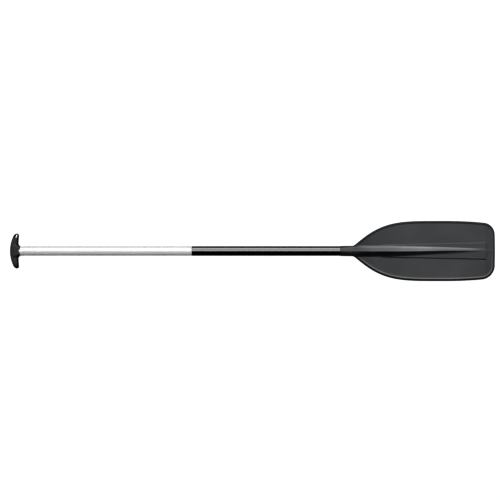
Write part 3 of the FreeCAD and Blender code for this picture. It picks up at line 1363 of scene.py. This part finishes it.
    def build(self, material: bpy.types.Material) -> bpy.types.Object:
        """Build and dress the blade.

        Args:
            material: its finish.

        Returns:
            The piece.
        """
        strip, depths, patch = self.plan()
        rows, columns = self.side_points, self.cross_points
        shell = SkinMesh(self.datum)
        strip_depth = np.broadcast_to(depths, strip.shape[:-1])
        patch_depth = self.patch_depth(patch[:, 1:-1], strip[:, 1])
        outer = self.faces_of(shell, strip[:, 0], strip_depth[:, 0], 1.0)
        mouth = []
        for up in (1.0, -1.0):
            inner = self.faces_of(shell, strip[:, 1:], strip_depth[:, 1:], up)
            index = np.concatenate([outer[:, None], inner], axis=1)
            grid = np.zeros((rows, columns), dtype=int)
            core = self.faces_of(shell, patch[:-1, 1:-1], patch_depth[:-1], up)
            grid[:-1, 1:-1] = core
            grid[:, 0] = inner[:rows, -1]
            grid[:, -1] = inner[: -rows - 1 : -1, -1]
            grid[-1] = inner[rows - 1 : rows + columns - 1, -1]
            shell.skin(index, outwards=up < 0)
            shell.skin(grid, outwards=up < 0)
            across_mouth = np.concatenate([index[0, :-1], grid[0], index[-1, -2::-1]])
            mouth.append(across_mouth if up > 0 else across_mouth[-2:0:-1])
        self.spigot(shell, np.concatenate(mouth))
        piece = shell.build("blade_moulding", 32.0)
        dress(piece, material)
        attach(piece, BODY)
        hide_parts("blade")
        return piece


@dataclass
class TGrip:
    """The T-grip: a crescent bar with a collar over the tube, a socket, a spigot and a lanyard slot.

    Its form is a field: a formula that is negative inside the plastic and grows outwards in
    millimetres. The skin is laid through the cells of a grid that the field's zero crosses, then
    every point is slid along the field's slope until the field there is zero.
    """

    datum: Datum
    palm_radius: float = 107.0
    finger_edge: float = 24.2
    finger_hook: float = 2.6
    bar_thickness: float = 14.7
    bar_squareness: float = 3.6
    bar_fullness: float = 56.5
    fullness_power: float = 10.0
    finger_power: float = 4.0
    tip_rounding: float = 7.0
    collar_start: float = 12.0
    gloss: float = 0.25
    collar_end: float = 30.5
    collar_half: float = 23.3
    collar_taper: float = 0.25
    collar_narrows: float = 6.0
    collar_narrowing: Ramp = Ramp(21.0, 33.5)
    collar_height: float = 14.75
    collar_sinks: float = 1.8
    collar_sinking: Ramp = Ramp(24.2, 33.2)
    collar_corner: float = 10.5
    corner_tightens: float = 5.5
    corner_tightening: Ramp = Ramp(20.0, 32.0)
    bar_blend: float = 3.2
    slot_blend: float = 0.9
    bore_blend: float = 0.3
    socket_start: float = 9.0
    socket_clearance: float = 0.05
    spigot_radius: float = 12.2
    spigot_end: float = 64.0
    core_radius: float = 8.0
    core_start: float = 6.0
    slot_half_width: float = 3.4
    slot_half_length: float = 2.9
    slot_station: float = 18.6
    slot_offset: float = 45.3
    slot_tilt: float = 23.5
    pitch: float = 0.6
    margin: float = 1.5
    grid_height: float = 17.0
    relaxing: tuple[float, ...] = (0.6, 0.6, 0.5, 0.4, 0.0, 0.0, 0.0)
    least_slope: float = 0.05
    slope_step: float = 0.02
    longest_slide: float = 0.4

    def __post_init__(self) -> None:
        """Read the bar's half width from the frame."""
        low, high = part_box("t_grip")
        self.half_width = (high.y - low.y) / 2 / MM

    def bar(self, x: np.ndarray, y: np.ndarray, z: np.ndarray) -> np.ndarray:
        """Work out the crescent bar's field: squarish ellipses across it, closed by round ends.

        Args:
            x: station.
            y: offset across the axis.
            z: height above the axis.

        Returns:
            The field: negative inside, in millimetres.
        """
        off = np.minimum(np.abs(y), self.half_width)
        palm = self.palm_radius - np.sqrt(self.palm_radius**2 - off**2)
        finger = self.finger_edge + self.finger_hook * (off / self.half_width) ** self.finger_power
        closing = np.clip((off - self.half_width) / self.tip_rounding + 1.0, 0.0, 1.0)
        close = np.sqrt(np.maximum(1.0 - closing**2, 0.0025))
        half_depth = (finger - palm) / 2.0 * close
        fullness = np.sqrt(1.0 - (off / self.bar_fullness) ** self.fullness_power)
        half_thick = self.bar_thickness * fullness * close
        power = self.bar_squareness
        aside = np.abs((x - (palm + finger) / 2.0) / half_depth)
        ratio = (aside**power + np.abs(z / half_thick) ** power) ** (1.0 / power)
        inside = (ratio - 1.0) * np.minimum(half_depth, half_thick)
        return np.maximum(inside, np.abs(y) - self.half_width)

    def collar(self, x: np.ndarray, y: np.ndarray, z: np.ndarray) -> np.ndarray:
        """Work out the collar's field: a square with round corners that closes towards the tube.

        Args:
            x: station.
            y: offset across the axis.
            z: height above the axis.

        Returns:
            The field: negative inside, in millimetres.
        """
        half_y = self.collar_half - self.collar_taper * (x - self.collar_start)
        half_y = half_y - self.collar_narrows * self.collar_narrowing.of(x)
        half_z = self.collar_height - self.collar_sinks * self.collar_sinking.of(x)
        corner = self.collar_corner - self.corner_tightens * self.corner_tightening.of(x)
        over_y = np.abs(y) - half_y + corner
        over_z = np.abs(z) - half_z + corner
        beyond = np.hypot(np.maximum(over_y, 0.0), np.maximum(over_z, 0.0))
        square = beyond + np.minimum(np.maximum(over_y, over_z), 0.0) - corner
        return np.maximum(square, np.maximum(x - self.collar_end, self.collar_start - x))

    def slot(self, x: np.ndarray, y: np.ndarray) -> np.ndarray:
        """Work out the slot's field in plan: the distance from a short line, less half its width.

        Args:
            x: station.
            y: offset across the axis.

        Returns:
            The field: negative inside, in millimetres.
        """
        turn = math.radians(self.slot_tilt)
        along = (x - self.slot_station) * math.sin(turn) + (y - self.slot_offset) * math.cos(turn)
        aside = (x - self.slot_station) * math.cos(turn) - (y - self.slot_offset) * math.sin(turn)
        past_end = np.maximum(np.abs(along) - self.slot_half_length, 0.0)
        return np.hypot(past_end, aside) - self.slot_half_width

    def field(self, points: np.ndarray) -> np.ndarray:
        """Join the fields of the bar, the collar, the socket, the spigot and the slot.

        Args:
            points: rows of (station, across, up).

        Returns:
            The field: negative inside, in millimetres.
        """
        x, y, z = points[..., 0], points[..., 1], points[..., 2]
        from_axis = np.hypot(y, z)
        body = -soft_max(-self.bar(x, y, z), -self.collar(x, y, z), self.bar_blend)
        body = soft_max(body, -self.slot(x, y), self.slot_blend)
        bore = from_axis - self.datum.radius("shaft_tube") - self.socket_clearance
        bore = np.maximum(bore, self.socket_start - x)
        body = soft_max(body, -bore, self.bore_blend)
        past_ends = np.maximum(x - self.spigot_end, self.socket_start - 1.0 - x)
        body = np.minimum(body, np.maximum(from_axis - self.spigot_radius, past_ends))
        core = np.maximum(from_axis - self.core_radius, self.core_start - x)
        return np.maximum(body, -core)

    def slope(self, points: np.ndarray) -> np.ndarray:
        """Work out the field's slope by central differences.

        Args:
            points: rows of (station, across, up).

        Returns:
            The slope at each point.
        """
        step = self.slope_step
        rise = [self.field(points + shift) - self.field(points - shift) for shift in np.eye(3) * step]
        return np.stack(rise, axis=-1) / (2.0 * step)

    def cells(self) -> tuple[np.ndarray, np.ndarray]:
        """Lay a skin of quads through the grid cells that the field's zero crosses.

        Returns:
            The cells' centres, and quads of their numbers, one across each grid edge whose ends lie on
            different sides, turned so that they face outwards.
        """
        side, top = self.half_width + self.margin, self.grid_height
        low = (-self.margin, -side, -top)
        high = (self.spigot_end + self.margin, side, top)
        ticks = [np.arange(a, b, self.pitch) for a, b in zip(low, high)]
        grid = np.stack(np.meshgrid(*ticks, indexing="ij"), axis=-1)
        inside = self.field(grid) < 0.0
        count = inside.astype(int)
        for axis in range(3):
            count = np.moveaxis(count, axis, 0)
            count = np.moveaxis(count[:-1] + count[1:], 0, axis)
        active = (count > 0) & (count < 8)
        number = np.full(active.shape, -1)
        number[active] = np.arange(active.sum())
        centres = grid[:-1, :-1, :-1][active] + self.pitch / 2.0
        quads = []
        for axis in range(3):
            near = np.moveaxis(inside, axis, 0)
            first, second = near[:-1, 1:-1, 1:-1], near[1:, 1:-1, 1:-1]
            number_here = np.moveaxis(number, axis, 0)
            corners = (
                number_here[:, :-1, :-1],
                number_here[:, 1:, :-1],
                number_here[:, 1:, 1:],
                number_here[:, :-1, 1:],
            )
            for leaving in (True, False):
                crossed = (first & ~second) if leaving else (~first & second)
                faces = np.stack([corner[crossed] for corner in corners], axis=-1)
                quads.append(faces if leaving == (axis != 1) else faces[:, ::-1])
        return centres, np.concatenate(quads)

    def relax(self, points: np.ndarray, quads: np.ndarray) -> np.ndarray:
        """Even out the skin and bring it onto the field's zero.

        Args:
            points: rough points near the surface.
            quads: the quads between them.

        Returns:
            The points, each first drawn towards its neighbours' mean and then slid along the slope.
        """
        ends = np.concatenate([quads[:, [k, (k + 1) % 4]] for k in range(4)])
        number = np.bincount(ends.ravel(), minlength=len(points))
        for drawn in self.relaxing:
            total = np.zeros_like(points)
            for axis in range(3):
                total[:, axis] += np.bincount(ends[:, 0], points[ends[:, 1], axis], len(points))
                total[:, axis] += np.bincount(ends[:, 1], points[ends[:, 0], axis], len(points))
            points = points + drawn * (total / number[:, None] - points)
            slope = self.slope(points)
            steep = np.maximum((slope**2).sum(axis=-1), self.least_slope)
            step = (self.field(points) / steep)[:, None] * slope
            points = points - np.clip(step, -self.longest_slide, self.longest_slide)
        return points

    def build(self, material: bpy.types.Material) -> bpy.types.Object:
        """Build and dress the grip.

        Args:
            material: its finish.

        Returns:
            The piece.
        """
        centres, quads = self.cells()
        points = self.relax(centres, quads)
        shell = SkinMesh(self.datum)
        shell.add(points, gloss=np.full(len(points), self.gloss))
        shell.faces.append(quads)
        piece = shell.build("t_grip_moulding", 48.0)
        dress(piece, material)
        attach(piece, BODY)
        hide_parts("t_grip")
        return piece


@dataclass
class Internals:
    """The sealed inner pieces: glue films and foam plugs, which keep their CAD shapes."""

    glue_nodes: tuple[str, ...] = ("grip_glue_film", "blade_glue_film")
    foam_nodes: tuple[str, ...] = ("grip_float_plug", "blade_float_plug")

    def dress(self, glue: bpy.types.Material, foam: bpy.types.Material) -> None:
        """Give the CAD nodes their finishes.

        Args:
            glue: finish of the glue films.
            foam: finish of the float plugs.
        """
        for names, material in ((self.glue_nodes, glue), (self.foam_nodes, foam)):
            for name in names:
                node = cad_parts[name]
                node.data.materials.clear()
                node.data.materials.append(material)
                LOG.info("%s: %d faces, from the frame", name, len(node.data.polygons))


@dataclass
class Studio:
    """White floor, long soft lights from the blade's upper edge side, and a camera straight above."""

    datum: Datum
    view_width: float = 1.5483
    view_centre: tuple[float, float] = (-0.008, 0.0031)
    lens: float = 135.0
    sensor: float = 36.0
    floor_half: float = 60.0
    floor_colour: Colour = (0.04, 0.04, 0.04, 1.0)
    floor_glow: float = 0.96
    room_dim: float = 0.015
    light_distance: float = 4.5
    key_angles: tuple[float, ...] = (-7.0, 27.0, 58.0, 89.0)
    key_lengths: tuple[float, ...] = (7.6, 6.4, 4.4)
    key_radiance: tuple[float, ...] = (6.9, 6.4, 7.6)
    fill_angles: tuple[float, float] = (-89.0, -50.0)
    fill_radiance: float = 4.7
    end_distance: float = 3.4
    end_height: float = 1.5
    end_size: tuple[float, float] = (4.4, 2.6)
    end_radiance: float = 4.0
    contrast: float = 2.0

    def floor(self) -> None:
        """Lay a pale floor that looks evenly white to the camera and stays duller in reflections."""
        half = self.floor_half
        mesh = bpy.data.meshes.new("floor")
        corners = [(-half, -half, 0.0), (half, -half, 0.0), (half, half, 0.0), (-half, half, 0.0)]
        mesh.from_pydata(corners, [], [(0, 1, 2, 3)])
        mesh.update()
        floor = bpy.data.objects.new("floor", mesh)
        bpy.context.scene.collection.objects.link(floor)
        material = bpy.data.materials.new("floor_white")
        material.use_nodes = True
        material.node_tree.nodes.clear()
        graph = Graph(material.node_tree)
        matt = graph.node("ShaderNodeBsdfDiffuse")
        matt.inputs["Color"].default_value = self.floor_colour
        glow = graph.node("ShaderNodeEmission")
        path = graph.node("ShaderNodeLightPath")
        seen = graph.maths(Maths.MULTIPLY, path.outputs["Is Camera Ray"], self.floor_glow)
        graph.feed(glow, "Strength", seen)
        both = graph.node("ShaderNodeAddShader")
        graph.feed(both, 0, matt.outputs[0])
        graph.feed(both, 1, glow.outputs[0])
        end = graph.node("ShaderNodeOutputMaterial")
        graph.feed(end, "Surface", both.outputs[0])
        mesh.materials.append(material)

    def surroundings(self) -> None:
        """Make the room: white where the camera looks past the floor, dim everywhere else."""
        world = bpy.data.worlds.new("studio")
        bpy.context.scene.world = world
        world.use_nodes = True
        world.node_tree.nodes.clear()
        graph = Graph(world.node_tree)
        sky = graph.node("ShaderNodeBackground")
        path = graph.node("ShaderNodeLightPath")
        graph.feed(sky, "Color", (1.0, 1.0, 1.0, 1.0))
        seen = graph.remap(path.outputs["Is Camera Ray"], 0.0, 1.0, self.room_dim, 1.0)
        graph.feed(sky, "Strength", seen)
        end = graph.node("ShaderNodeOutputWorld")
        graph.feed(end, "Surface", sky.outputs[0])

    @staticmethod
    def panel(name: str, size: tuple[float, float], radiance: float) -> bpy.types.Object:
        """Add a rectangular light that the camera doesn't see.

        Args:
            name: the light's name.
            size: its two sides.
            radiance: how brightly its sheet glows; the power is radiance * area * pi.

        Returns:
            The light, at the origin.
        """
        data = bpy.data.lights.new(name, "AREA")
        data.shape = "RECTANGLE"
        data.size, data.size_y = size
        data.energy = radiance * size[0] * size[1] * math.pi
        light = bpy.data.objects.new(name, data)
        light.visible_camera = False
        bpy.context.scene.collection.objects.link(light)
        return light

    def strip(
        self, name: str, angles: tuple[float, float], length: float, radiance: float
    ) -> bpy.types.Object:
        """Hang a light along the shaft that fills the given angles from overhead.

        Args:
            name: the light's name.
            angles: where it begins and ends, in degrees from overhead.
            length: its length along the shaft.
            radiance: how brightly its sheet glows.

        Returns:
            The light.
        """
        low, high = angles
        width = 2.0 * self.light_distance * math.tan(math.radians(high - low) / 2.0)
        light = self.panel(name, (length, width), radiance)
        turn = math.radians((low + high) / 2.0)
        light.location = (0.0, self.light_distance * math.sin(turn), self.light_distance * math.cos(turn))
        light.rotation_euler = (-turn, 0.0, 0.0)
        return light

    def lights(self) -> None:
        """Hang the key strips on one side, a weak fill on the other, and a panel past each end."""
        spans = zip(self.key_angles[:-1], self.key_angles[1:], self.key_lengths, self.key_radiance)
        for number, (low, high, length, radiance) in enumerate(spans):
            self.strip(f"key_{number}", (low, high), length, radiance)
        fill = self.strip("fill", self.fill_angles, self.key_lengths[0], self.fill_radiance)
        fill.visible_glossy = False
        for side in (-1.0, 1.0):
            light = self.panel("end_palm" if side < 0 else "end_tip", self.end_size, self.end_radiance)
            light.location = (side * self.end_distance, 0.0, self.end_height)
            light.visible_diffuse = False
            lean = math.atan2(self.end_distance, self.end_height)
            light.rotation_euler = (lean, 0.0, side * math.pi / 2.0)

    def camera(self) -> None:
        """Put the camera straight above the paddle, so that its long lens frames the floor's width."""
        data = bpy.data.cameras.new("camera")
        data.sensor_width = self.sensor
        data.lens = self.lens
        data.clip_end = 100.0
        camera = bpy.data.objects.new("camera", data)
        height = self.view_width * self.lens / self.sensor
        camera.location = (*self.view_centre, self.datum.axis_height + height)
        bpy.context.scene.collection.objects.link(camera)
        bpy.context.scene.camera = camera

    def build(self) -> None:
        """Set the whole studio up, with colours shown as they are."""
        view = bpy.context.scene.view_settings
        view.view_transform = "Standard"
        view.gamma = 1.0 / self.contrast
        self.floor()
        self.surroundings()
        self.lights()
        self.camera()


def main() -> None:
    """Build the paddle's pieces in order, dress them and set up the studio."""
    logging.basicConfig(level=logging.INFO, format="%(name)s: %(message)s")
    datum = Datum.from_frame()
    effects = Effects.make()
    blade_plastic = MouldedPlastic("blade_polypropylene", specular=0.42, tint=(0.93, 0.95, 1.0, 1.0))
    grip_plastic = MouldedPlastic("grip_polypropylene", specular=0.3)
    tube_alloy = SatinAlloy("anodised_tube", satin=0.4, metallic=0.04, specular=0.5)
    sleeve_plastic = ShrunkSleeve("shrunk_sleeve", specular=1.0)
    pieces = [
        TGrip(datum).build(grip_plastic.make(effects)),
        ShaftTube(datum).build(tube_alloy.make(effects)),
        ShaftSleeve(datum).build(sleeve_plastic.make(effects)),
        Blade(datum).build(blade_plastic.make(effects)),
    ]
    for piece in pieces:
        LOG.info("%s: %d faces", piece.name, len(piece.data.polygons))
    glue, foam = CuredGlue("cured_epoxy"), ClosedCellFoam("closed_cell_foam")
    Internals().dress(glue.make(effects), foam.make(effects))
    Studio(datum).build()


if __name__ == "__main__":
    main()
